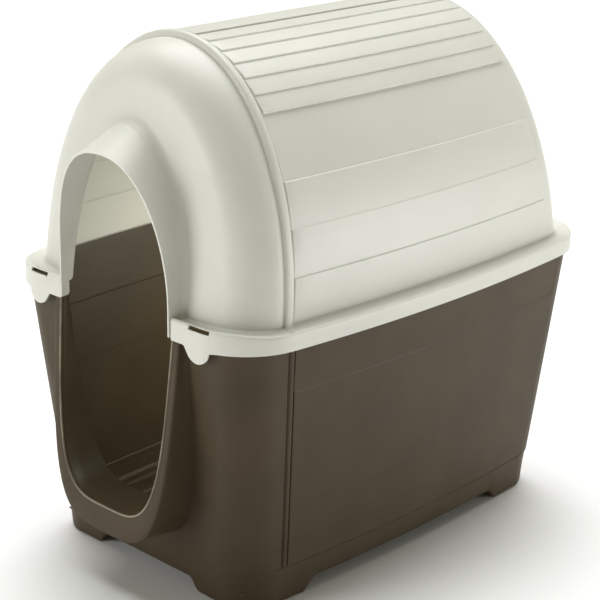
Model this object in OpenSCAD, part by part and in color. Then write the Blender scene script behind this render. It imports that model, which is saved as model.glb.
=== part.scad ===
// Two-piece moulded plastic dog kennel: a tapered tub with a porch collar, and a
// barrel-vaulted roof that lifts off. Front is -Y, width along X, ground at z = 0.

/* [Overall] */
// Length of the roof rim, front to back
rim_len = 800; // [700:5:900]
// Width of the roof rim at mid length
rim_w = 572; // [520:2:620]
// Overall height, ground to ridge
total_h = 818; // [780:2:860]
// Wall thickness of both mouldings
wall = 3.2; // [2.6:0.1:4]
// How far the long sides bow outwards between their ends
side_bow = 28; // [10:1:34]

/* [Tub] */
// Width of the tub at its foot, mid length
tub_foot_w = 466; // [440:2:500]
// Length of the tub at its foot
tub_foot_len = 692; // [660:2:720]
// Height of the tub wall above the ground
tub_h = 440; // [420:1:450]
// Height of the foot pads under the wall
foot_h = 20; // [14:1:26]
// Height of the floor's upper face
floor_z = 31; // [28:1:40]
// Number of lengthwise ribs on the floor
floor_ribs = 9; // [5:2:13]

/* [Roof] */
// Height of the lower edge of the roof rim
rim_z = 420; // [410:1:426]
// Height of the rim's face
rim_h = 25; // [20:1:30]
// Width of the vault at its foot, mid length
vault_w = 514; // [490:2:524]
// Fullness of the vault's cross-section, 2 is an ellipse
vault_power = 2; // [1.8:0.05:3]
// Plan distance from the middle to the front edge of the raised rib
rib_front = 302; // [290:1:310]
// Width of the raised rib
rib_width = 14; // [8:1:20]
// Height of the raised rib above the vault
rib_rise = 8; // [3:0.5:10]

/* [Doorway] */
// Half width of the doorway at the joint between tub and roof
door_half_w = 120; // [100:1:130]
// Height of the sill
sill_z = 128; // [110:1:140]
// Height of the hood's front peak
peak_z = 667; // [640:1:680]
// Forward reach of the hood's peak and of the collar's foot, from the middle
porch_reach = 426; // [410:1:430]

/* [Rear vent] */
// Width of the vent grille
vent_w = 132; // [110:2:150]
// Height of the vent grille
vent_h = 60; // [50:2:80]
// Number of vent slots
vent_slots = 6; // [4:1:8]
// Travel of the shutter
vent_travel = 9; // [6:0.5:10]

/* [Floor drain] */
// Bore of the drain hole
drain_d = 32; // [24:1:40]

/* [Hidden] */

roof_colour = [0.80, 0.80, 0.75];
tub_colour = [0.30, 0.26, 0.21];
trim_colour = [0.20, 0.18, 0.15];

gap = 0.4;             // running clearance between separate pieces
rim_half_l = rim_len / 2;
rim_half_w = rim_w / 2;
rim_corner = 91;
tub_top_half_l = rim_half_l - 11;
tub_top_half_w = rim_half_w - 14;
tub_top_corner = 72;
tub_foot_corner = 58;
flange_drop = 9;       // depth of the flange round the tub's mouth
flange_clear = 1.2;    // side clearance between the flange and the rim
rim_top = rim_z + rim_h;
vault_z = rim_top - 2; // foot of the vault, just inside the rim's upper face
vault_half_w = vault_w / 2;
vault_top = total_h - rib_rise;
cap_back = 363;        // rear wall of the vault at its foot, from the middle
cap_front = 382;       // front wall of the vault at its foot, from the middle
front_lean = 0.105;    // lean of the front wall, run over rise
back_lean = 0.17;      // lean of the rear wall, run over rise
rib_lean = 0.073;      // backward lean of the rib, run over rise
cap_back_roll = 46;    // depth of the rolled edge in front of the rear wall
end_bow = 25;          // bow of each end wall across its width
cap_inset = 62;        // radius of the rolled edge round each end wall
rib_back = -rib_front + rib_width;
collar_face_w = 15;    // face width of the porch collar beside the door
collar_foot_h = 42;    // face height of the porch collar under the sill
tongue_x = 172;        // middle of each finger tongue, from the middle plane
tongue_w = 60;
tongue_drop = 22;
slot_w = 38;
slot_h = 6;
hook_w = 18;
hood_clear = door_half_w + 6; // half width kept free above the collar for the hood's walls
hood_back_y = 340;     // how far back that space reaches, from the middle
arch_end_x = 90;       // ends of the front foot arch at the wall
arch_end_y = 205;      // ends of the side foot arch at the wall
arch_slope = 29;       // run of the sloping ends of each arch
floor_rib_pitch = 42;
floor_rib_w = 10;
floor_rib_h = 4;
floor_rib_end = 290;   // ends of the floor ribs, from the middle
pad_t = 16;            // thickness of the foot pads
drain_x = 120;
drain_y = 235;
vent_z = 600;          // middle of the rear vent
vent_frame = 12;       // width of the frame round the vent
vent_face = 345;       // rear face of the vent frame, from the middle
section_steps = 30;
plan_steps = 6;
side_steps = 6;

function mix(a, b, t) = a + (b - a) * t;
function bulge(y) = side_bow * pow(y / rim_half_l, 2);

// One closed ring in plan: a rectangle with round corners whose long sides bow outwards.
function corner(cx, cy, r, a0) = [for (i = [0:plan_steps]) let (a = a0 + 90 * i / plan_steps)
    [cx + r * cos(a), cy + r * sin(a)]];
function side(x, y0, y1) = [for (i = [1:side_steps - 1]) [x, mix(y0, y1, i / side_steps)]];
function rounded(hw, hl, r) = concat(
    side(hw, -(hl - r), hl - r), corner(hw - r, hl - r, r, 0),
    corner(-(hw - r), hl - r, r, 90), side(-hw, hl - r, -(hl - r)),
    corner(-(hw - r), -(hl - r), r, 180), corner(hw - r, -(hl - r), r, 270));
function plan_ring(hw, hl, r, z) = [for (p = rounded(hw, hl, r))
    [p[0] * (1 - bulge(p[1]) / rim_half_w), p[1], z]];

// A closed solid through a stack of rings that all have the same number of points.
// Its ends are closed in level strips, so a ring that leans from foot to top stays true.
module skin(rings) {
    n = len(rings[0]);
    m = len(rings);
    h = ceil(n / 2) - 2;
    points = [for (ring = rings) for (p = ring) p];
    first = [for (i = [0:h]) let (j = n - 2 - i) i + 1 == j ? [i, j, j + 1] : [i, i + 1, j, j + 1]];
    last = [for (f = first) [for (k = [len(f) - 1:-1:0]) (m - 1) * n + f[k]]];
    walls = [for (k = [0:m - 2]) for (i = [0:n - 1]) let (j = (i + 1) % n) each [
        [(k + 1) * n + j, k * n + j, k * n + i],
        [(k + 1) * n + i, (k + 1) * n + j, k * n + i]]];
    polyhedron(points = points, faces = concat(first, last, walls));
}

// Outline of the doorway, wider than the real opening by grow, from sill to peak.
function door_low(grow, foot, z) = let (t = min(1, (rim_z - z) / (rim_z - sill_z + foot)))
    (door_half_w + 2 + grow) * (1 - 0.09 * t) * pow(1 - pow(t, 4), 0.25);
function low_heights(foot) = [for (i = [0:14]) rim_z - (rim_z - sill_z + foot) * sin(90 * i / 14)];
function mirrored(half) = concat(half, [for (i = [len(half) - 2:-1:0]) [-half[i][0], half[i][1]]]);
module low_opening(grow, foot, top) {
    half = [for (z = low_heights(foot)) [door_low(grow, foot, z), z]];
    polygon(concat([[half[0][0], top]], mirrored(half), [[-half[0][0], top]]));
}
// Turns a drawing of the X-Z plane into a solid between two distances along Y.
module along_y(y0, y1) {
    translate([0, y1, 0]) rotate([90, 0, 0]) linear_extrude(y1 - y0) children();
}

// Tub wall outline at a height, set in from the outer face.
function tub_half_w(z) = mix(tub_foot_w / 2, tub_top_half_w, (z - foot_h) / (tub_h - foot_h));
function tub_half_l(z) = mix(tub_foot_len / 2, tub_top_half_l, (z - foot_h) / (tub_h - foot_h));
function tub_corner(z) = mix(tub_foot_corner, tub_top_corner, (z - foot_h) / (tub_h - foot_h));
function tub_ring(z, inset) = plan_ring(tub_half_w(z) - inset, tub_half_l(z) - inset,
    max(12, tub_corner(z) - inset), z);

// Face of the porch collar: it reaches further forward towards its foot.
module collar_envelope() {
    face_top = rim_half_l - 2;
    lean = (porch_reach - face_top) / (rim_z - sill_z + collar_foot_h);
    rotate([90, 0, 90]) translate([0, 0, -200]) linear_extrude(400)
        polygon([[-tub_foot_len / 2 + 12, 60], [-face_top - lean * (rim_z - 60), 60],
            [-face_top, rim_z - gap], [-tub_top_half_l + 8, rim_z - gap]]);
}

module collar() {
    difference() {
        intersection() {
            along_y(-porch_reach - 10, -tub_foot_len / 2 + 12)
                low_opening(collar_face_w, collar_foot_h, rim_z);
            collar_envelope();
        }
        along_y(-porch_reach - 20, -tub_foot_len / 2 + 40) low_opening(0, 0, rim_z + 1);
    }
}

module foot_arches() {
    along_y(-rim_half_l, rim_half_l) polygon([[-arch_end_x - arch_slope, -1],
        [arch_end_x + arch_slope, -1], [arch_end_x, foot_h], [-arch_end_x, foot_h]]);
    rotate([0, 0, 90]) along_y(-rim_half_w, rim_half_w) polygon([[-arch_end_y - arch_slope, -1],
        [arch_end_y + arch_slope, -1], [arch_end_y, foot_h], [-arch_end_y, foot_h]]);
}

module foot_pads() {
    difference() {
        skin([for (z = [0, foot_h + 2]) [for (p = tub_ring(foot_h, 8)) [p[0], p[1], z]]]);
        skin([for (z = [-1, foot_h + 3]) [for (p = tub_ring(foot_h, 8 + pad_t)) [p[0], p[1], z]]]);
        foot_arches();
    }
}

module floor_rib_rows() {
    for (i = [0:floor_ribs - 1]) {
        x = (i - (floor_ribs - 1) / 2) * floor_rib_pitch;
        back = abs(x - drain_x) < floor_rib_pitch ? drain_y - floor_rib_pitch : floor_rib_end;
        translate([x - floor_rib_w / 2, -floor_rib_end, floor_z - 1])
            cube([floor_rib_w, floor_rib_end + back, floor_rib_h + 1]);
    }
}

module base_tub() {
    color(tub_colour) difference() {
        union() {
            difference() {
                union() {
                    skin([tub_ring(foot_h, 6), tub_ring(foot_h + 8, 1.5), tub_ring(foot_h + 30, 0),
                        tub_ring(tub_h - flange_drop, 0), tub_ring(tub_h, 0)]);
                    skin([for (z = [tub_h - flange_drop, tub_h])
                        plan_ring(rim_half_w - wall - flange_clear, rim_half_l - wall - flange_clear,
                            rim_corner - wall - flange_clear, z)]);
                    collar();
                }
                skin([tub_ring(floor_z, wall + 3), tub_ring(floor_z + 10, wall),
                    tub_ring(tub_h - flange_drop - 6, wall), tub_ring(tub_h + 1, wall)]);
            }
            floor_rib_rows();
            foot_pads();
            hook_blocks();
        }
        skin([tub_ring(foot_h - 1, wall + 8), tub_ring(floor_z - 4, wall + 8)]);
        along_y(-porch_reach - 20, -tub_foot_len / 2 + 40) low_opening(0, 0, tub_h + 5);
        translate([-hood_clear, -porch_reach, rim_z - gap])
            cube([2 * hood_clear, porch_reach - hood_back_y, tub_h]);
        translate([drain_x, drain_y, floor_z - 10]) cylinder(h = 20, d = drain_d, $fn = 64);
    }
}

// Blocks on the flange that sit behind the rim's slots.
module hook_blocks() {
    front = -(rim_half_l - wall - gap - 0.3);
    for (s = [-1, 1])
        translate([s * tongue_x - hook_w / 2, front, tub_h - flange_drop])
            cube([hook_w, 12, flange_drop]);
}

// Vault cross-section: half of a superellipse standing on vault_z, shrunk by inset.
function vault_point(i, inset) = let (a = 180 * i / section_steps, c = cos(a), s = sin(a))
    [sign(c) * (vault_half_w - inset) * pow(abs(c), 2 / vault_power),
     (vault_top - vault_z - inset) * pow(s, 2 / vault_power)];
function vault_ring(y, inset, drop, lean) = [for (i = [0:section_steps])
    let (p = vault_point(i, inset), back = y + lean * p[1])
    [p[0] * (1 - bulge(back) / vault_half_w), back, p[1] < 0.01 ? vault_z - drop : vault_z + p[1]]];
// Rings that roll over from the vault into a leaning end wall and close it.
function end_wall(foot, lean, x, z) = foot - lean * z - end_bow * pow(x / vault_half_w, 2);
function cap_ring(dir, start, start_lean, foot, lean, t, inset, drop) =
    let (roll = cap_inset * min(t, 1), shrink = t > 1 ? 2 - t : 1,
        rise = sqrt(1 - pow(1 - min(t, 1), 2)))
    [for (i = [0:section_steps]) let (p = vault_point(i, inset + roll) * shrink,
        y = mix(start - start_lean * p[1], end_wall(foot - inset, lean, p[0], p[1]), rise))
        [p[0] * (1 - bulge(y) / vault_half_w), dir * y, p[1] < 0.01 ? vault_z - drop : vault_z + p[1]]];
cap_steps = [0.05, 0.17, 0.36, 0.64, 1, 1.4, 1.96];
rib_cover = 4;         // how far the vault's front roll starts behind the rib's face
module vault_solid(inset, drop) {
    start_front = rib_front - rib_cover;
    start_back = cap_back - cap_back_roll;
    skin(concat(
        [for (i = [len(cap_steps) - 1:-1:0])
            cap_ring(1, start_back, back_lean, cap_back, back_lean, cap_steps[i], inset, drop)],
        [for (t = [5:-1:0]) vault_ring(mix(-start_front, start_back, t / 5), inset, drop,
            mix(rib_lean, -back_lean, t / 5))],
        [for (t = cap_steps)
            cap_ring(-1, start_front, rib_lean, cap_front, front_lean, t, inset, drop)]));
}

module raised_rib() {
    skin([for (y = [rib_back, -rib_front]) vault_ring(y, -rib_rise, 0, rib_lean)]);
}

// Hood over the door: a tunnel that grows out of the front wall and rises to a peak.
hood_back = -rim_half_l + 80;
hood_start_z = 480;    // height where the hood's edge starts to reach forward
hood_reach_power = 1.3;
root_peak = 700;       // height of the hood where it leaves the front wall
root_half = 126;       // half width of the hood there
function hood_reach(z) = pow(min(1, max(0, (z - hood_start_z) / (peak_z - hood_start_z))),
    hood_reach_power);
function hood_edge_y(z) = -mix(rim_half_l + 1, porch_reach, hood_reach(z));
function hood_ring(t, grow) =
    [for (i = [0:28]) let (a = 180 * i / 28, c = cos(a), s = sin(a),
        ex = sign(c) * (door_half_w - 1 + grow) * pow(abs(c), 0.8),
        ez = rim_z + (peak_z - rim_z + grow) * pow(s, 0.8),
        rx = sign(c) * (root_half + grow) * pow(abs(c), 1.05),
        rz = rim_z + (root_peak - rim_z + grow) * pow(s, 1.05))
        [mix(ex, rx, t), mix(hood_edge_y(ez), hood_back, t), mix(ez, rz, t)]];
module hood(grow, front, drop) {
    skin([for (k = [0:4]) let (t = [1, 0.66, 0.33, 0, 0][k]) [for (p = hood_ring(t, grow))
        [p[0], p[1] - (k == 4 ? front : 0), p[2] <= rim_z + 0.01 ? rim_z - drop : p[2]]]]);
}

module rim_outer() {
    skin([plan_ring(rim_half_w, rim_half_l, rim_corner, rim_z),
        plan_ring(rim_half_w, rim_half_l, rim_corner, rim_top - 5),
        plan_ring(rim_half_w - 1.5, rim_half_l - 1.5, rim_corner - 1.5, rim_top - 1.5),
        plan_ring(rim_half_w - 5, rim_half_l - 5, rim_corner - 5, rim_top)]);
}
module rim_inner() {
    skin([for (z = [rim_z - 1, tub_h + gap])
        plan_ring(rim_half_w - wall, rim_half_l - wall, rim_corner - wall, z)]);
}

module tongues() {
    for (s = [-1, 1]) translate([s * tongue_x, 0, 0]) along_y(-rim_half_l, -rim_half_l + wall)
        union() {
            translate([-tongue_w / 2, rim_z]) square([tongue_w, 6]);
            polygon([[-tongue_w / 2, rim_z + 1], [-tongue_w / 2 + 8, rim_z - 3],
                [-18, rim_z - tongue_drop + 12], [18, rim_z - tongue_drop + 12],
                [tongue_w / 2 - 8, rim_z - 3], [tongue_w / 2, rim_z + 1]]);
            translate([0, rim_z - tongue_drop + 19]) circle(r = 19, $fn = 48);
        }
}
module slots() {
    for (s = [-1, 1]) translate([s * tongue_x - slot_w / 2, -rim_half_l - 1, tub_h - 7])
        cube([slot_w, wall + 2, slot_h]);
}

// Flat frame on the rear wall that carries the vent.
module vent_boss() {
    w = vent_w / 2 + vent_frame;
    h = vent_h / 2 + vent_frame;
    translate([-w, vent_face - 28, vent_z - h]) cube([2 * w, 28, 2 * h]);
}
module vent_cut() {
    w = vent_w / 2;
    h = vent_h / 2;
    translate([-w + 8, vent_face - 120, vent_z - h + 8]) cube([2 * w - 16, 130, 2 * h - 16]);
    translate([-w, vent_face - 10, vent_z - h]) cube([2 * w, 20, 2 * h]);
}

module roof_shell() {
    color(roof_colour) resize([0, 0, 0]) difference() {
        union() {
            rim_outer();
            vault_solid(0, 0);
            raised_rib();
            hood(wall, 0.01, 0);
            tongues();
            vent_boss();
        }
        rim_inner();
        difference() {
            vault_solid(wall, 8);
            vent_boss();
        }
        hood(0, 40, 5);
        slots();
        vent_cut();
    }
}

vent_pitch = (vent_w - 32) / vent_slots;
module vent_openings(shift, y0, y1) {
    for (i = [0:vent_slots - 1])
        translate([-vent_w / 2 + 16 + vent_pitch * (i + 0.25) + shift, y0, vent_z - vent_h / 2 + 14])
            cube([vent_pitch / 2, y1 - y0, vent_h - 28]);
}
module vent_grille() {
    color(trim_colour) difference() {
        translate([-vent_w / 2 + gap, vent_face - 3, vent_z - vent_h / 2 + gap])
            cube([vent_w - 2 * gap, 3, vent_h - 2 * gap]);
        vent_openings(0, vent_face - 10, vent_face + 10);
        translate([-vent_travel / 2 - 6, vent_face - 10, vent_z - vent_h / 2 + 5])
            cube([vent_travel + 12, 20, 5]);
    }
}
module vent_shutter() {
    slide_w = vent_w - 2 * vent_travel - 6;
    color(trim_colour) {
        difference() {
            translate([-vent_w / 2 + 3, vent_face - 7, vent_z - vent_h / 2 + 2])
                cube([slide_w + vent_travel, 3, vent_h - 4]);
            vent_openings(0, vent_face - 10, vent_face + 10);
        }
        translate([-vent_travel / 2 - 4.5, vent_face - 7, vent_z - vent_h / 2 + 6])
            cube([6, 11, 3]);
    }
}

module drain_plug() {
    color(trim_colour) translate([drain_x, drain_y, 0]) {
        translate([0, 0, floor_z - 6]) cylinder(h = 6 + gap, d = drain_d - 2 * gap, $fn = 64);
        translate([0, 0, floor_z + gap]) cylinder(h = 3, d = drain_d + 12, $fn = 64);
        translate([-9, -2, floor_z + gap]) cube([18, 4, 12]);
    }
}

// Puts the origin under the middle of the whole object, porch included.
module centred() {
    translate([0, (porch_reach - rim_half_l) / 2, 0]) children();
}

centred() base_tub();
centred() roof_shell();
centred() vent_grille();
centred() vent_shutter();
centred() drain_plug();
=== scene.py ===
"""Looks of a two-piece moulded plastic kennel, a pale vaulted roof on a dark tub, round its frame."""

import math

import bpy
import numpy as np
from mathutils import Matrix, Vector


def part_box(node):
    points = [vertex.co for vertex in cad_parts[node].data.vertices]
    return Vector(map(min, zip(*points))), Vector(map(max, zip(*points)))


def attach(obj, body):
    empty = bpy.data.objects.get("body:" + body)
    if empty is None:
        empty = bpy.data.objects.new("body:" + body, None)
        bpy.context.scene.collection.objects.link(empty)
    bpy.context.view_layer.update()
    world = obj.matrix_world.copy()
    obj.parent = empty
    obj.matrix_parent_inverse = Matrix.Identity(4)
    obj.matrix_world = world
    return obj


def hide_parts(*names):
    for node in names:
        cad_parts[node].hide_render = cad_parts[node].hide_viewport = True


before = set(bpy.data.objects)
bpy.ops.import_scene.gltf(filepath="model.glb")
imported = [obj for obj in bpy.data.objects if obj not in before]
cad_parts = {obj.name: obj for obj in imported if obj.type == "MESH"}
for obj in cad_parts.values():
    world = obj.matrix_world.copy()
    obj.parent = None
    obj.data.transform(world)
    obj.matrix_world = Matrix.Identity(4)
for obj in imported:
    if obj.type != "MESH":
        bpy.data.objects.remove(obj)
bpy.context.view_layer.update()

# ---------------------------------------------------------------- driving sizes, in millimetres
MM = 0.001
WALL = 3.0
RIM_HALF_W = 286.0
RIM_HALF_L = 400.0
RIM_CORNER = 91.0
RIM_Z = 420.0
SIDE_BOW = 28.0
FOOT_LINE = 447.0
VAULT_HALF_W = 257.0
VAULT_TOP = 811.0
VAULT_POWER = 2.0         # an ellipse
SHOULDER_Z = 600.0        # above this the vault's sides turn into its top
RIB_FRONT = -302.0
RIB_RISE = (5.0, 7.0)     # on the sides and on the ridge
RIB_LEAN = 0.073
PANEL_FRONT = -283.5
RECESS = 0.4              # depth of the plain band between the rib and the panels
FRONT_Y = -382.0
FRONT_LEAN = 0.105
FRONT_BOW = 27.0
FRONT_ROLL = 56.0
BACK_Y = 363.0
BACK_LEAN = 0.170
BACK_BOW = 10.0
BACK_ROLL = 50.0
BACK_ROLL_DEPTH = (46.0, 34.0)      # on the sides and on the ridge
BOW_AT = 229.0            # the half width at which the end walls' bows are measured
BOARD_PITCH = 29.2
BOARDS = 6
RIDGE_HALF = 18.9
BOARD_RISE = 4.0
BOARD_TILT = 2.4          # how much higher a board's lower edge stands than its upper edge
SIDE_LINES = (639.0, 576.5, 511.0)
SIDE_RISE = 1.9
HOOD_HALF_W = 119.0
HOOD_HEIGHT = 220.0
HOOD_POWER = 2.4
HOOD_LIP_Y = -401.5       # front edge of the hood where it stands upright
HOOD_REACH = 21.5         # how much farther the hood's peak comes forward
HOOD_REACH_FROM_Z = 480.0
ROOT_HALF_W = 121.0       # where the hood grows out of the front wall
ROOT_HEIGHT = 251.0
ROOT_POWER = 1.95
ROOT_FILLET = (10.0, 16.0)
TONGUE_X = 173.5
TONGUE_DROP = 20.0
TONGUE_HALF_W = 21.5
SLOT_X = (-170.0, 176.0)
SLOT_HALF_W = 19.5
SLOT_Z = (444.9, 451.1)
TUB_FOOT = (233.0, 346.0, 58.0)     # half width, half length and corner radius at FOOT_H
TUB_TOP = (272.0, 389.0, 61.0)      # the same, TUB_RISE higher
TUB_RISE = 420.0
TUB_LINES = (347.0, 252.0, 160.0)
COURSE_RISE = (1.0, 0.25, 0.25, 0.25)
STEP_Z = 60.0             # the wall steps in below this height
STEP = 1.5
FLANGE_INSET = 4.6        # from the rim's outline to the flange round the tub's mouth
FLANGE_CORNER = 86.0
GROOVE_DEPTH = 3.4
PANEL_EDGE_DEPTH = 3.0
PANEL_EDGE_AT = 9.9       # from the corner groove to the panel's front edge
SILL_Z = 129.0
DOOR_HALF_W = 122.0
DOOR_TAPER = 0.09
COLLAR_FACE_Y = -398.0
COLLAR_LEAN = 0.087
COLLAR_W = 14.0           # width of the collar's face beside the doorway
COLLAR_FOOT_W = 42.0      # and under the sill
COLLAR_SINK = 3.6         # how far the collar's back lies inside the tub's wall
BEAD_R = 1.5
FOOT_H = 20.0
ARCH_RISE = 21.0
FLOOR_Z = 28.0
FLOOR_RIB_PITCH = 42.0
FLOOR_RIB_H = 4.0
DRAIN_AT = (120.0, 235.0)
VENT_HALF_W, VENT_LOW, VENT_HIGH, VENT_FACE = 66.0, 570.0, 630.0, 345.0
VENT_WINDOW_HALF_W = 62.0
SHARP_DEG = 35.0          # an edge bent more than this is shaded as an edge

low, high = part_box("roof_shell")
MID_Y = high[1] / MM - RIM_HALF_L      # the frame's y of the kennel's own middle


def mix(a, b, t):
    return a + (b - a) * t


def smooth(a, b, x):
    t = np.clip((x - a) / (b - a), 0.0, 1.0)
    return t * t * (3 - 2 * t)


def bow(y):
    """How much narrower the kennel is at y than at its middle."""
    return 1 - SIDE_BOW * (y / RIM_HALF_L) ** 2 / RIM_HALF_W


def superellipse(half_w, z0, height, power, count=3000):
    """Right foot, over the top, to the left foot, as an array of (x, z) with its arc length."""
    a = np.linspace(0, math.pi, count)
    c, s = np.cos(a), np.sin(a)
    x = half_w * np.sign(c) * np.abs(c) ** (2 / power)
    z = z0 + height * np.abs(s) ** (2 / power)
    arc = np.concatenate([[0], np.cumsum(np.hypot(np.diff(x), np.diff(z)))])
    return x, z, arc


def along(curve, fractions):
    x, z, arc = curve
    at = fractions * arc[-1]
    return np.interp(at, arc, x), np.interp(at, arc, z)


def new_object(name, verts, faces, thickness=0.0):
    mesh = bpy.data.meshes.new(name)
    points = [(x * MM, (y + MID_Y) * MM, z * MM) for x, y, z in verts]
    mesh.from_pydata(points, [], faces)
    mesh.update()
    obj = bpy.data.objects.new(name, mesh)
    bpy.context.scene.collection.objects.link(obj)
    merge = obj.modifiers.new("merge", "WELD")
    merge.merge_threshold = 0.00005
    if thickness:
        shell = obj.modifiers.new("shell", "SOLIDIFY")
        shell.thickness = thickness * MM
        shell.offset = -1
    return obj


def settle(obj):
    """Makes the modifiers' result the mesh, and shades it smooth except at real edges."""
    graph = bpy.context.evaluated_depsgraph_get()
    mesh = bpy.data.meshes.new_from_object(obj.evaluated_get(graph))
    obj.modifiers.clear()
    obj.data = mesh
    mesh.polygons.foreach_set("use_smooth", [True] * len(mesh.polygons))
    mesh.set_sharp_from_angle(angle=math.radians(SHARP_DEG))


def grid_faces(rows, cols, close_cols=False, flip=False):
    faces = []
    last = cols if close_cols else cols - 1
    for r in range(rows - 1):
        for c in range(last):
            d = (c + 1) % cols
            quad = (r * cols + c, r * cols + d, (r + 1) * cols + d, (r + 1) * cols + c)
            faces.append(quad[::-1] if flip else quad)
    return faces


def cut(obj, *tools):
    for i, tool in enumerate(tools):
        step = obj.modifiers.new(f"cut{i}", "BOOLEAN")
        step.operation = "DIFFERENCE"
        step.solver = "MANIFOLD"
        step.object = tool
    return obj


def prism(name, outline, y0, y1):
    """An outline of the x-z plane made solid between two distances along y."""
    n = len(outline)
    verts = [(x, y, z) for y in (y0, y1) for x, z in outline]
    faces = [tuple(range(n)), tuple(range(2 * n - 1, n - 1, -1))]
    faces += [(i + n, (i + 1) % n + n, (i + 1) % n, i) for i in range(n)]
    return new_object(name, verts, faces)


# ---------------------------------------------------------------- outline of the rim and the tub
CORNERS = ((1, 1, 0), (-1, 1, 90), (-1, -1, 180), (1, -1, 270))    # sign of x, sign of y, first angle


def outline(half_w, half_l, radius, per_corner, per_side, per_end):
    """A bowed rectangle with round corners, counter-clockwise from the middle of the right side."""
    flat_w, flat_l = half_w - radius, half_l - radius
    pts = [(half_w, y) for y in np.linspace(0, flat_l, per_side, endpoint=False)]
    for cx, cy, a0 in CORNERS:
        for i in range(per_corner):
            a = math.radians(a0 + 90 * i / per_corner)
            pts.append((cx * flat_w + radius * math.cos(a), cy * flat_l + radius * math.sin(a)))
        if a0 in (0, 180):
            xs = np.linspace(cx * flat_w, -cx * flat_w, per_end, endpoint=False)
            pts += [(x, cy * half_l) for x in xs]
        if a0 == 90:
            pts += [(-half_w, y) for y in np.linspace(flat_l, -flat_l, 2 * per_side, endpoint=False)]
    pts += [(half_w, y) for y in np.linspace(-flat_l, 0, per_side, endpoint=False)]
    pts = np.array(pts)
    pts[:, 0] *= bow(pts[:, 1])
    return pts


# ---------------------------------------------------------------- roof
def front_wall(x, z):
    return FRONT_Y + FRONT_LEAN * (z - FOOT_LINE) + FRONT_BOW * (x / BOW_AT) ** 2


def back_wall(x, z):
    return BACK_Y - BACK_LEAN * (z - FOOT_LINE) - BACK_BOW * (x / BOW_AT) ** 2


def vault_curve():
    return superellipse(VAULT_HALF_W, FOOT_LINE, VAULT_TOP - FOOT_LINE, VAULT_POWER)


def roof_columns():
    """Fractions of the vault's arc, with a pair of close columns wherever a board ends."""
    arc = vault_curve()
    total = arc[2][-1]
    even = np.linspace(0, 1, 141)
    marks, spread = [], []
    for k in range(BOARDS + 1):
        d = k * BOARD_PITCH + RIDGE_HALF
        marks += [0.5 + d / total, 0.5 - d / total]
        spread += [(0.35, 1.1)] * 2
    heights = arc[1][: len(arc[1]) // 2]
    for z in SIDE_LINES:
        f = np.interp(z, heights, arc[2][: len(heights)]) / total
        marks += [f, 1 - f]
        spread += [(0.9, 1.7)] * 2
    close = []
    for m, (near, far) in zip(marks, spread):
        close += [m - far / total, m - near / total, m + near / total, m + far / total]
    keep = [e for e in even if min(abs(e - m) for m in marks) > 2.2 / total]
    return np.array(sorted(keep + close)), total


def panel_rise(col, total):
    """Height of the boards and side panels above the plain vault, per column."""
    x_half = np.abs(col - 0.5) * total - RIDGE_HALF      # arc distance from the ridge board
    k = np.floor(x_half / BOARD_PITCH)
    inside = (x_half / BOARD_PITCH) - k
    board = BOARD_RISE - 1.0 + BOARD_TILT * (inside - 0.5)
    board = np.where(x_half < 0, BOARD_RISE + 0.2, board)
    rise = np.where(k < BOARDS, board, 0.0)
    z = along(vault_curve(), col)[1]
    side = np.zeros_like(z)
    bands = list(SIDE_LINES) + [FOOT_LINE]
    for top, bottom in zip(bands[:-1], bands[1:]):
        here = (z < top) & (z >= bottom - 1)
        side = np.where(here, SIDE_RISE * (z - bottom) / (top - bottom), side)
    return np.where(k < BOARDS, rise, side)


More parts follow.
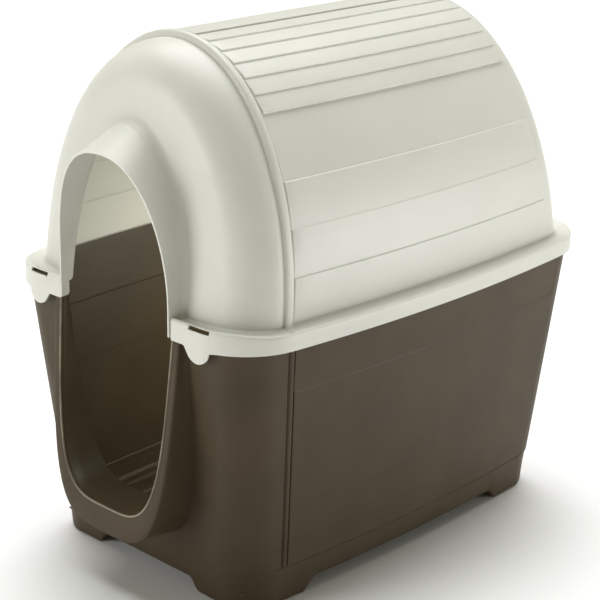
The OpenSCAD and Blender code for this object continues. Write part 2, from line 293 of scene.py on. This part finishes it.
def build_roof():
    col, total = roof_columns()
    vault = vault_curve()
    vx, vz = along(vault, col)
    step = 1e-4
    x0, z0 = along(vault, np.clip(col - step, 0, 1))
    x1, z1 = along(vault, np.clip(col + step, 0, 1))
    nx, nz = (z1 - z0), -(x1 - x0)
    length = np.hypot(nx, nz)
    nx, nz = nx / length, nz / length
    top = np.clip((vz - SHOULDER_Z) / (VAULT_TOP - SHOULDER_Z), 0, 1)     # 0 on the sides, 1 on the ridge

    hx, hz = along(superellipse(HOOD_HALF_W, FOOT_LINE, HOOD_HEIGHT, HOOD_POWER), col)
    reach = np.clip((hz - HOOD_REACH_FROM_Z) / (FOOT_LINE + HOOD_HEIGHT - HOOD_REACH_FROM_Z), 0, 1)
    hy = HOOD_LIP_Y - HOOD_REACH * reach ** 1.5
    rx, rz = along(superellipse(ROOT_HALF_W, FOOT_LINE, ROOT_HEIGHT, ROOT_POWER), col)
    fillet = mix(*ROOT_FILLET, np.clip((rz - 560) / 130, 0, 1))
    ry = front_wall(rx, rz) - fillet

    rows = []      # each: arrays x, y and z, and whether the rim's shelf goes outwards from its feet
    for t in (0, 0.08, 0.25, 0.5, 0.75, 0.92):
        rows.append((mix(hx, rx, t), mix(hy, ry, t), mix(hz, rz, t), False))

    # front wall, from the hood's root to the rib, along straight lines in the x-z plane
    lean = RIB_LEAN * (vz - FOOT_LINE)
    rib_y = RIB_FRONT + lean
    ring_x = (vx - nx * 3.0 * top) * bow(rib_y)
    ring_z = vz - nz * 3.0 * top
    dx, dz = ring_x - rx, ring_z - rz
    run = np.hypot(dx, dz)
    roll = np.minimum(FRONT_ROLL, run * 0.62)
    depth = rib_y - front_wall(ring_x, ring_z)

    def front_row(e):
        x, z = rx + dx * e / run, rz + dz * e / run
        y = front_wall(x, z)
        near = np.clip(fillet - e, 0, fillet)
        y = y - (fillet - np.sqrt(np.maximum(fillet ** 2 - near ** 2, 0)))
        d = np.clip(roll - (run - e), 0, roll) / roll
        y = y + depth * (1 - np.sqrt(np.maximum(1 - d ** 2, 0)))
        return (x, y, z, True)

    for a in np.linspace(0, 90, 9):
        rows.append(front_row(fillet * (1 - math.cos(math.radians(a)))))
    plain = run - roll - fillet
    for t in np.linspace(0, 1, 46)[1:]:
        rows.append(front_row(fillet + plain * t))
    for a in np.linspace(0, 90, 13)[1:]:
        rows.append(front_row(run - roll + roll * math.sin(math.radians(a))))

    # raised rib, recess and boards
    rib = mix(*RIB_RISE, top)
    rise = panel_rise(col, total)
    panel_y = PANEL_FRONT + lean

    def section(y, offset):
        return ((vx + nx * offset) * bow(y), y, vz + nz * offset, True)

    rib_profile = ((0.6, 0.25), (1.2, 0.62), (2.4, 0.9), (4.0, 1.0), (8.0, 1.04),
                   (11.0, 1.0), (12.6, 0.9), (13.8, 0.6), (14.3, 0.1))
    for dy, k in rib_profile:
        rows.append(section(rib_y + dy, rib * k))
    rows.append(section(rib_y + 15.5, -RECESS))
    rows.append(section(panel_y - 0.3, -RECESS))
    for dy, k in ((0.0, 0.35), (0.3, 0.8), (1.2, 1.0)):
        rows.append(section(panel_y + dy, rise * k))
    start = panel_y + 1.2
    stop = back_wall(vx * 0.95, vz) - mix(*BACK_ROLL_DEPTH, top)
    boards_stop = stop - 6.0
    for t in np.linspace(0, 1, 29)[1:]:
        rows.append(section(mix(start, boards_stop, t), rise))
    for dy, k in ((0.5, 0.8), (1.0, 0.35), (1.5, 0.0), (6.0, 0.0)):
        rows.append(section(boards_stop + dy, rise * k))
    last_y = boards_stop + 6.0
    end_x, end_z = vx * bow(last_y), vz

    # rear wall, down to the middle of its foot
    dx, dz = -end_x, FOOT_LINE - end_z
    run = np.hypot(dx, dz)
    roll = np.minimum(BACK_ROLL, run * 0.6)

    def back_row(e):
        x, z = end_x + dx * e / run, end_z + dz * e / run
        d = np.clip(roll - e, 0, roll) / roll
        y = back_wall(x, z)
        y = mix(last_y, y, np.sqrt(np.maximum(1 - d ** 2, 0)))
        return (x, y, z, True)

    for a in np.linspace(0, 90, 13)[1:]:
        rows.append(back_row(roll * (1 - math.cos(math.radians(a)))))
    for t in np.linspace(0, 1, 16)[1:]:
        rows.append(back_row(mix(roll, run, t)))

    # the rim, from each row's foot to the rim's outline
    ring = outline(RIM_HALF_W, RIM_HALF_L, RIM_CORNER, 120, 120, 400)
    verts = []
    for x, y, z, shelf in rows:
        left = rim_points(x[-1], y[-1], ring, shelf)
        right = rim_points(x[0], y[0], ring, shelf)
        verts += right[::-1] + list(zip(x, y, z)) + left
    cols = len(verts) // len(rows)
    return new_object("roof_moulding", verts, grid_faces(len(rows), cols, flip=True), WALL)


def tongue(x, y):
    """How far the rim's lower edge dips to make a finger tongue, a round tip below a flared root."""
    side = abs(x) - TONGUE_X
    u = abs(side)
    flare_end = 23.5 if side > 0 else 29.0
    if y > -RIM_HALF_L + 20 or u > 29:
        return 0.0
    tip = 0.0
    if u < TONGUE_HALF_W - 2:
        tip = 1.0 + TONGUE_DROP * math.sqrt(1 - (u / TONGUE_HALF_W) ** 2)
    flare = 9.4 * (1 - smooth(19.0, flare_end, u)) ** 1.6
    return max(tip, flare)


def rim_points(fx, fy, ring, shelf):
    """Cove, shelf, rounded upper edge and face of the rim, from the foot at (fx, fy) outwards."""
    if not shelf:
        return [(fx, fy, mix(FOOT_LINE, RIM_Z + 3, t)) for t in np.linspace(0, 1, 14)[1:]]
    near = ring[np.argmin((ring[:, 0] - fx) ** 2 + (ring[:, 1] - fy) ** 2)]
    if abs(fy) < RIM_HALF_L - RIM_CORNER:
        near = (math.copysign(RIM_HALF_W, fx) * bow(fy), fy)
    ox, oy = near
    away = max(math.hypot(ox - fx, oy - fy), 1e-6)
    lift = 6.0 * smooth(-330.0, -398.0, oy)
    drop = RIM_Z - tongue(ox, oy)
    points = []
    for out, z in ((2.0, 444.8), (5.0, 443.4), (10.0, 442.8)):
        t = min(out / away, 0.5)
        points.append((mix(fx, ox, t), mix(fy, oy, t), z + lift * t))
    for inn, z in ((8.0, 444.6), (5.5, 445.7), (3.0, 445.6), (1.2, 444.4), (0.3, 442.4), (0.0, 440.0)):
        t = 1 - min(inn / away, 0.45)
        points.append((mix(fx, ox, t), mix(fy, oy, t), z + lift))
    for t in (0.4, 0.75, 0.97, 1.0):
        points.append((ox, oy, mix(440.0 + lift, drop, t)))
    return points


# ---------------------------------------------------------------- tub
def tub_size(z):
    """Half width, half length and corner radius of the tub's wall at a height."""
    t = (z - FOOT_H) / TUB_RISE
    return [mix(foot, top, t) for foot, top in zip(TUB_FOOT, TUB_TOP)]


def groove_y(z):
    """The corner groove leans with the tub's wall."""
    return -299.5 + (410.0 - z) * 0.057


def side_ys(half_l, radius, z):
    """Places along a side wall, close together at the groove and at the panel's front edge."""
    g = groove_y(z)
    fine = [-5, -3.4, -2.2, -1.4, -0.4, 0.4, 1.4, 2.2, 3.4, 5, 7, 8.6, 9.4]
    fine += [PANEL_EDGE_AT, 10.6, 11.2, 12, 13.4]
    front = list(np.linspace(-(half_l - radius), g - 8, 4))
    rest = list(np.linspace(g + 18, half_l - radius, 60))
    return np.array(front + [g + f for f in fine] + rest)


def tub_ring(half_w, half_l, radius, z):
    """One level of the tub: right side front to back, rear, left side, front."""
    ys = side_ys(half_l, radius, z)
    flat_w, flat_l = half_w - radius, half_l - radius
    pts = [(half_w - side_dip(y, z), y) for y in ys]
    for cx, cy, a0 in CORNERS:
        for i in range(1, 20):
            a = math.radians(a0 + 90 * i / 20)
            pts.append((cx * flat_w + radius * math.cos(a), cy * flat_l + radius * math.sin(a)))
        if a0 == 0:
            pts += [(x, half_l) for x in np.linspace(flat_w, -flat_w, 40)]
        if a0 == 90:
            pts += [(-(half_w - side_dip(y, z)), y) for y in ys[::-1]]
        if a0 == 180:
            pts += [(x, -half_l) for x in np.linspace(-flat_w, flat_w, 60)]
    pts = np.array(pts)
    pts[:, 0] *= bow(pts[:, 1])
    return [(x, y, z) for x, y in pts]


def side_dip(y, z):
    """How deep the side wall lies below its plain face: grooves, panel edge and courses."""
    if z > 436:
        return 0.0
    g = groove_y(z)
    low = float(smooth(60.5, 63.5, z))
    groove = GROOVE_DEPTH * math.exp(-((y - g) / 2.0) ** 4) * low
    course = 0.0
    for top, bottom, rise in zip((FOOT_LINE,) + TUB_LINES, TUB_LINES + (STEP_Z,), COURSE_RISE):
        if bottom <= z < top:
            course = rise * min(1.0, (top - z) / (top - bottom))
    on_panel = float(smooth(g + 9.3, g + 10.2, y))
    edge = PANEL_EDGE_DEPTH * math.exp(-((y - g - PANEL_EDGE_AT) / 1.1) ** 4) * low
    return groove + max(course * on_panel * low, edge)


def build_tub():
    levels = [445.0, 444.4, 440.0, 437.0, 436.2, 435.8, 433.0]
    levels += list(np.linspace(425.0, 66.0, 50))
    for line in TUB_LINES:
        levels += [line + d for d in (-4, -2.2, -0.9, 0.9, 2.2, 4)]
    levels += [64.0, 62.6, 61.4, 60.6, 60.0, 59.4, 58.6, 57.0, 54.0, 48.0, 42.0]
    levels = sorted(set(levels), reverse=True)
    verts = []
    count = 0
    for z in levels:
        hw, hl, r = tub_size(z)
        step = STEP * float(smooth(60.8, 59.2, z))
        if z > 435.9:
            inset = FLANGE_INSET + (1.0 if z > 444.9 else 0.0)
            verts += tub_ring(RIM_HALF_W - inset, RIM_HALF_L - inset, FLANGE_CORNER, z)
        else:
            verts += tub_ring(hw - step, hl - step, r, z)
        count += 1
    hw, hl, r = tub_size(40.0)
    for a in np.linspace(0, 90, 10)[1:]:
        s, c = math.sin(math.radians(a)), math.cos(math.radians(a))
        inset = STEP + 13 * (1 - c) + 1.5 * s
        verts += tub_ring(hw - inset, hl - inset, r - 10 * (1 - c), 40.0 - 17 * s)
        count += 1
    for t in (24.0, 40.0):
        verts += tub_ring(hw - t, hl - t, max(r - t, 6.0), 23.0)
        count += 1
    cols = len(verts) // count
    return new_object("tub_wall", verts, grid_faces(count, cols, close_cols=True, flip=True), WALL)


def door_half(z, grow, foot):
    t = np.clip((RIM_Z - z) / (RIM_Z - SILL_Z + foot), 0, 1)
    return (DOOR_HALF_W + grow) * (1 - DOOR_TAPER * t) * (1 - t ** 4) ** 0.25


def door_curve(grow=0.0, foot=0.0, count=90):
    """The lower doorway, from its right top down round the sill to its left top."""
    z = RIM_Z - (RIM_Z - SILL_Z + foot) * np.sin(np.linspace(0, math.pi / 2, 600))
    x = door_half(z, grow, foot)
    x = np.concatenate([x, -x[-2::-1]])
    z = np.concatenate([z, z[-2::-1]])
    arc = np.concatenate([[0], np.cumsum(np.hypot(np.diff(x), np.diff(z)))])
    at = np.linspace(0, arc[-1], count)
    return np.interp(at, arc, x), np.interp(at, arc, z)


def collar_face(z):
    return COLLAR_FACE_Y - COLLAR_LEAN * (RIM_Z - z)


def wall_y(x, z):
    """Just behind the tub's front wall, and behind its corners where x reaches them."""
    hw, hl, r = tub_size(z)
    over = min(max(abs(x) / bow(hl) - (hw - r), 0.0), r)
    return COLLAR_SINK - (hl - r) - math.sqrt(r * r - over * over)


def build_collar():
    """Porch collar: a ring round the doorway that reaches forward of the tub's wall."""
    inner, outer = door_curve(), door_curve(COLLAR_W, COLLAR_FOOT_W)
    back = door_curve(1.0, -2.0)
    verts = []
    count = len(inner[0])
    for i in range(count):
        ix, iz, ox, oz = inner[0][i], inner[1][i], outer[0][i], outer[1][i]
        fi, fo = collar_face(iz), collar_face(oz)
        bx, bz = back[0][i], back[1][i]
        length = math.hypot(ox - ix, oz - iz)
        ux, uz = (ox - ix) / length, (oz - iz) / length
        inside_y = wall_y(bx, bz)
        ring = [(bx, inside_y, bz)]
        for t in (0.3, 0.7, 1.0):
            ring.append((mix(bx, ix, t) + ux * 1.6, mix(inside_y, fi + 9.0, t), mix(bz, iz, t) + uz * 1.6))
        for side, behind in ((1.2, 8.4), (0.3, 7.8), (0.0, 7.0)):
            ring.append((ix + ux * side, fi + behind, iz + uz * side))
        for a in (0, 22, 45, 67, 90):
            c, s = math.cos(math.radians(a)), math.sin(math.radians(a))
            ring.append((ix + ux * 2.4 * (1 - c), fi + 2.4 - 2.4 * s, iz + uz * 2.4 * (1 - c)))
        ring.append((mix(ix, ox, 0.5), mix(fi, fo, 0.5), mix(iz, oz, 0.5)))
        for a in (90, 60, 30, 0):
            c, s = math.cos(math.radians(a)), math.sin(math.radians(a))
            ring.append((ox - ux * 3.0 * (1 - c), fo + 3.0 - 3.0 * s, oz - uz * 3.0 * (1 - c)))
        low = float(smooth(235.0, 110.0, oz))
        for t in (0.15, 0.35, 0.55, 0.75, 0.9, 1.0):
            out = mix(5.0, 18.0, low) * t ** mix(3.0, 2.2, low)
            x, z = ox + ux * out, oz + uz * out * 0.3
            ring.append((x, mix(fo + 3.0, wall_y(x, z), t), z))
        verts += ring
    cols = len(verts) // count
    faces = grid_faces(count, cols, close_cols=True, flip=True)
    faces += [tuple(range(cols)), tuple((count - 1) * cols + c for c in range(cols))[::-1]]
    return new_object("tub_collar", verts, faces)


def build_bead():
    """The fine bead round the inner edge of the collar's face; its pale colour is a painted highlight."""
    verts = []
    xs, zs = door_curve(0.6, 0.6, 130)
    dx, dz = np.gradient(xs), np.gradient(zs)
    run = np.hypot(dx, dz)
    sides = 10
    for x, z, tx, tz in zip(xs, zs, dx / run, dz / run):
        for k in range(sides):
            c, d = math.cos(2 * math.pi * k / sides), math.sin(2 * math.pi * k / sides)
            verts.append((x - tz * BEAD_R * c, collar_face(z) + 0.4 + BEAD_R * d, z + tx * BEAD_R * c))
    faces = grid_faces(len(xs), sides, close_cols=True)
    faces += [tuple(range(sides)), tuple((len(xs) - 1) * sides + k for k in range(sides))[::-1]]
    return new_object("collar_bead", verts, faces)


SKIRT = ((-3.6, 58.4), (-1.8, 39.5), (0.0, 20.0), (0.9, 8.0), (1.4, 4.0), (2.6, 1.6), (5.0, 0.3), (7.0, 0.0))


def build_feet():
    """Four pads in one run round the foot, with the arches left out between them."""
    verts, faces = [], []
    hw, hl, r = tub_size(FOOT_H)
    path = outline(hw - STEP + 0.3, hl - STEP + 0.3, r, 40, 120, 200)
    inner = outline(hw - 20, hl - 20, r - 16, 40, 120, 200)
    for (x, y), (ix, iy) in zip(path, inner):
        rise = foot_rise(x, y)
        dx, dy = x - ix, y - iy
        length = math.hypot(dx, dy)
        ux, uy = dx / length, dy / length
        ring = []
        for inwards, z in SKIRT:
            arched = rise + z * 0.2 if rise > 0.01 else z
            ring.append((x - ux * inwards, y - uy * inwards, max(z, arched)))
        ring += [(ix, iy, max(0.0, rise)), (ix, iy, 25.5)]
        ring += [(x - ux * 5.0, y - uy * 5.0, 26.5), (x + ux * 1.0, y + uy * 1.0, 58.0)]
        verts += ring
    cols = len(ring)
    n = len(path)
    for i in range(n):
        j = (i + 1) % n
        for c in range(cols):
            d = (c + 1) % cols
            faces.append((i * cols + d, j * cols + d, j * cols + c, i * cols + c))
    return new_object("tub_feet", verts, faces)


def foot_rise(x, y):
    """Height of the arch between the pads at a place on the foot's outline."""
    on_end = abs(y) > 290 and abs(x) < 160
    at, start, stop = (abs(x), 92.0, 120.0) if on_end else (abs(y), 205.0, 236.0)
    return ARCH_RISE * float(1 - smooth(start, stop, at))


def build_vent_frame(half_w, z0, z1, face):
    """A frame with rounded corners that levels the leaning rear wall for the grille."""
    profile = ((14.0, -28.0), (14.0, -3.0), (13.1, -0.9), (11.0, 0.0), (2.0, 0.0), (0.6, -0.6),
               (0.0, -2.0), (0.0, -10.0), (-6.0, -10.0), (-6.0, -28.0))
    ring = []
    zc, half_h = (z0 + z1) / 2, (z1 - z0) / 2
    for out, y in profile:
        radius = max(out + 1.5, 1.0)
        w, h = half_w + out - radius, half_h + out - radius
        level = []
        for cx, cz, a0 in CORNERS:
            for i in range(9):
                a = math.radians(a0 + 90 * i / 8)
                level.append((cx * w + radius * math.cos(a), face + y, zc + cz * h + radius * math.sin(a)))
        ring.append(level)
    verts = [v for level in ring for v in level]
    cols = len(ring[0])
    faces = grid_faces(len(ring), cols, close_cols=True, flip=True)
    last = (len(ring) - 1) * cols
    faces += [(c, (c + 1) % cols, last + (c + 1) % cols, last + c) for c in range(cols)]
    return new_object("vent_frame", verts, faces)


def build_floor():
    """The floor's upper face, with its moulded ribs running lengthwise."""
    xs = np.linspace(-214, 214, 215)
    ys = np.linspace(-334, 334, 60)
    verts = []
    for y in ys:
        for x in xs:
            inside = min(1.0, max(0.0, (318 - abs(y)) / 12))
            wave = 0.5 + 0.5 * math.cos(2 * math.pi * x / FLOOR_RIB_PITCH)
            rib = FLOOR_RIB_H * smooth(0.35, 0.8, wave) * inside
            verts.append((x * bow(y), y, FLOOR_Z + float(rib)))
    return new_object("tub_floor", verts, grid_faces(len(ys), len(xs)), 2.0)


# ---------------------------------------------------------------- materials
def nodes_of(name, base, roughness):
    material = bpy.data.materials.new(name)
    material.use_nodes = True
    tree = material.node_tree
    shader = tree.nodes["Principled BSDF"]
    shader.inputs["Roughness"].default_value = roughness
    shader.inputs["Base Color"].default_value = (*base, 1)
    return material, tree, shader


def noise(tree, scale, detail, stretch=(1, 1, 1)):
    place = tree.nodes.new("ShaderNodeTexCoord")
    fit = tree.nodes.new("ShaderNodeMapping")
    fit.inputs["Scale"].default_value = stretch
    tree.links.new(place.outputs["Object"], fit.inputs["Vector"])
    node = tree.nodes.new("ShaderNodeTexNoise")
    node.inputs["Scale"].default_value = scale
    node.inputs["Detail"].default_value = detail
    node.inputs["Roughness"].default_value = 0.55
    tree.links.new(fit.outputs["Vector"], node.inputs["Vector"])
    return node.outputs["Fac"]


def ramp(tree, fac, stops):
    node = tree.nodes.new("ShaderNodeValToRGB")
    line = node.color_ramp
    while len(line.elements) < len(stops):
        line.elements.new(0.5)
    for element, (at, colour) in zip(line.elements, stops):
        element.position = at
        element.color = (*colour, 1)
    tree.links.new(fac, node.inputs["Fac"])
    return node.outputs["Color"]


def bump(tree, shader, layers):
    below = None
    for height, distance, strength in layers:
        node = tree.nodes.new("ShaderNodeBump")
        node.inputs["Distance"].default_value = distance
        node.inputs["Strength"].default_value = strength
        tree.links.new(height, node.inputs["Height"])
        if below:
            tree.links.new(below, node.inputs["Normal"])
        below = node.outputs["Normal"]
    tree.links.new(below, shader.inputs["Normal"])


def rough_range(tree, shader, fac, lo, hi):
    node = tree.nodes.new("ShaderNodeMapRange")
    node.inputs["To Min"].default_value = lo
    node.inputs["To Max"].default_value = hi
    tree.links.new(fac, node.inputs["Value"])
    tree.links.new(node.outputs["Result"], shader.inputs["Roughness"])


def mottled(tree, base, fac, lowest, highest):
    """The base colour, a little darker and a little lighter in places."""
    dark, light = tuple(c * lowest for c in base), tuple(c * highest for c in base)
    return ramp(tree, fac, ((0.3, dark), (0.7, light)))


def roof_plastic():
    base = (0.60, 0.60, 0.55)
    material, tree, shader = nodes_of("roof_plastic", base, 0.42)
    colour = mottled(tree, base, noise(tree, 7.0, 5.0, (1, 0.6, 1)), 0.965, 1.03)
    tree.links.new(colour, shader.inputs["Base Color"])
    rough_range(tree, shader, noise(tree, 22.0, 4.0), 0.36, 0.5)
    grain, brushed = noise(tree, 900.0, 3.0), noise(tree, 60.0, 4.0, (3, 0.35, 3))
    bump(tree, shader, ((grain, 0.0002, 0.22), (brushed, 0.0004, 0.18)))
    return material


def tub_plastic():
    base = (0.060, 0.043, 0.023)
    material, tree, shader = nodes_of("tub_plastic", base, 0.5)
    shader.inputs["Specular IOR Level"].default_value = 0.2
    colour = mottled(tree, base, noise(tree, 9.0, 6.0), 0.86, 1.12)
    tree.links.new(colour, shader.inputs["Base Color"])
    rough_range(tree, shader, noise(tree, 30.0, 4.0), 0.44, 0.58)
    grain, waves = noise(tree, 1100.0, 4.0), noise(tree, 75.0, 5.0, (2.4, 0.5, 2.4))
    bump(tree, shader, ((grain, 0.0003, 0.35), (waves, 0.0005, 0.2)))
    return material


def painted_highlight_plastic():
    # pale colour is a painted highlight: it stands in for the glint along the collar's inner edge
    base = (0.27, 0.235, 0.165)
    material, tree, shader = nodes_of("painted_highlight_plastic", base, 0.35)
    colour = ramp(tree, noise(tree, 14.0, 5.0), ((0.35, tuple(c * 0.45 for c in base)), (0.6, base)))
    tree.links.new(colour, shader.inputs["Base Color"])
    rough_range(tree, shader, noise(tree, 60.0, 3.0), 0.3, 0.5)
    bump(tree, shader, ((noise(tree, 900.0, 3.0), 0.0002, 0.25),))
    return material


def trim_plastic():
    base = (0.045, 0.036, 0.030)
    material, tree, shader = nodes_of("trim_plastic", base, 0.45)
    colour = mottled(tree, base, noise(tree, 25.0, 4.0), 0.85, 1.15)
    tree.links.new(colour, shader.inputs["Base Color"])
    rough_range(tree, shader, noise(tree, 40.0, 3.0), 0.4, 0.52)
    bump(tree, shader, ((noise(tree, 1000.0, 3.0), 0.0002, 0.3),))
    return material


# ---------------------------------------------------------------- build
def plain_box(name, x0, x1, y0, y1, z0, z1):
    return prism(name, [(x0, z0), (x1, z0), (x1, z1), (x0, z1)], y0, y1)


roof_look, tub_look, painted_highlight_look, trim_look = roof_plastic(), tub_plastic(), painted_highlight_plastic(), trim_plastic()

roof = build_roof()
window = VENT_WINDOW_HALF_W
tools = [plain_box("vent_tool", -window, window, 280, 400, VENT_LOW + 3, VENT_HIGH - 3)]
for x in SLOT_X:
    tools.append(plain_box("slot_tool", x - SLOT_HALF_W, x + SLOT_HALF_W, -403, -388, *SLOT_Z))
cut(roof, *tools)

tub = build_tub()
door_x, door_z = door_curve(3.0, 2.0)
door_outline = list(zip(door_x, door_z))[::-1]
door_outline = [(door_outline[0][0], 470.0)] + door_outline + [(door_outline[-1][0], 470.0)]
door_tool = prism("door_tool", door_outline, -450, -300)
cut(tub, door_tool)

collar = build_collar()
bead = build_bead()
feet = build_feet()
floor_piece = build_floor()
drain_x, drain_y = DRAIN_AT
drain_place = (drain_x * MM, (drain_y + MID_Y) * MM, 0.03)
bpy.ops.mesh.primitive_cylinder_add(vertices=64, radius=0.016, depth=0.1, location=drain_place)
drain_tool = bpy.context.object
cut(floor_piece, drain_tool)
vent_frame = build_vent_frame(VENT_HALF_W, VENT_LOW, VENT_HIGH, VENT_FACE)
for piece in (roof, tub, collar, bead, feet, floor_piece, vent_frame):
    settle(piece)
for tool in tools + [door_tool, drain_tool]:
    bpy.data.objects.remove(tool, do_unlink=True)

for piece, look, body, slot, node in (
    (roof, roof_look, "roof", "roof_plastic", "roof_shell"),
    (vent_frame, roof_look, "roof", "roof_plastic", "roof_shell"),
    (tub, tub_look, "base", "tub_plastic", "base_tub"),
    (collar, tub_look, "base", "tub_plastic", "base_tub"),
    # the collar's bead gets the pale painted-highlight material
    (bead, painted_highlight_look, "base", "tub_plastic", "base_tub"),
    (feet, tub_look, "base", "tub_plastic", "base_tub"),
    (floor_piece, tub_look, "base", "tub_plastic", "base_tub"),
):
    piece.data.materials.clear()
    piece.data.materials.append(look)
    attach(piece, body)
    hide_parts(node)

for node in ("vent_grille", "vent_shutter", "drain_plug"):
    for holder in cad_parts[node].material_slots:
        holder.material = trim_look

# ---------------------------------------------------------------- stage, light and camera
bpy.ops.mesh.primitive_plane_add(size=60)
ground = bpy.context.object
ground.name = "ground"
ground.data.materials.append(nodes_of("ground_look", (0.86, 0.86, 0.86), 0.9)[0])

bpy.ops.mesh.primitive_uv_sphere_add(segments=48, ring_count=24, radius=60)
backdrop = bpy.context.object
backdrop.name = "backdrop"
backdrop_look, _, backdrop_shader = nodes_of("backdrop_look", (0.0, 0.0, 0.0), 1.0)
backdrop_shader.inputs["Emission Color"].default_value = (1, 1, 1, 1)
backdrop_shader.inputs["Emission Strength"].default_value = 1.0
backdrop.data.materials.append(backdrop_look)
backdrop.visible_diffuse = False
backdrop.visible_glossy = False
backdrop.visible_transmission = False
backdrop.visible_shadow = False

world = bpy.data.worlds.new("world")
bpy.context.scene.world = world
world.use_nodes = True
sky = world.node_tree.nodes["Background"]
sky.inputs["Color"].default_value = (1.0, 0.98, 0.72, 1)
sky.inputs["Strength"].default_value = 0.17
bpy.context.scene.view_settings.view_transform = "Standard"


def aimed(data, name, place, aim):
    light = bpy.data.objects.new(name, data)
    light.location = place
    light.rotation_euler = (Vector(place) - Vector(aim)).to_track_quat("Z", "Y").to_euler()
    bpy.context.scene.collection.objects.link(light)
    return light


def area_light(name, place, aim, size, power):
    data = bpy.data.lights.new(name, "AREA")
    data.shape = "RECTANGLE"
    data.size, data.size_y = size
    data.energy = power
    light = aimed(data, name, place, aim)
    light.visible_camera = False
    return data


def sun_light(name, place, strength, spread):
    data = bpy.data.lights.new(name, "SUN")
    data.energy = strength
    data.angle = math.radians(spread)
    return aimed(data, name, place, (0, 0, 0))


sun_light("top", (-0.3, 0.3, 1.0), 4.0, 55)
area_light("front_left", (-1.3, -3.2, 1.0), (0, -0.3, 0.5), (1.4, 1.6), 48)
area_light("right_rear", (2.9, 2.0, 0.35), (0.2, 0.2, 0.45), (1.6, 0.7), 46)
cabin = area_light("cabin", (0.13, 0.14, 0.42), (-0.25, -0.05, 0.24), (0.16, 0.16), 1.9)
cabin.color = (1.0, 0.98, 0.84)

CAMERA_AT = (1.8198, -1.9179 + MID_Y * MM, 1.2874)
CAMERA_TURN = (43.73, 19.53, 0.94)      # azimuth, elevation and roll, in degrees

camera_data = bpy.data.cameras.new("camera")
camera = bpy.data.objects.new("camera", camera_data)
bpy.context.scene.collection.objects.link(camera)
bpy.context.scene.camera = camera
camera_data.lens = 105.33
camera_data.sensor_width = 36.0
azimuth, elevation, roll = (math.radians(v) for v in CAMERA_TURN)
level = math.cos(elevation)
back = Vector((math.sin(azimuth) * level, -math.cos(azimuth) * level, math.sin(elevation)))
right = Vector((math.cos(azimuth), math.sin(azimuth), 0))
up = back.cross(right)
turned_right = right * math.cos(roll) + up * math.sin(roll)
turned_up = up * math.cos(roll) - right * math.sin(roll)
world_matrix = camera.matrix_world.copy()
for i in range(3):
    for j, axis in enumerate((turned_right, turned_up, back, CAMERA_AT)):
        world_matrix[i][j] = axis[i]
camera.matrix_world = world_matrix
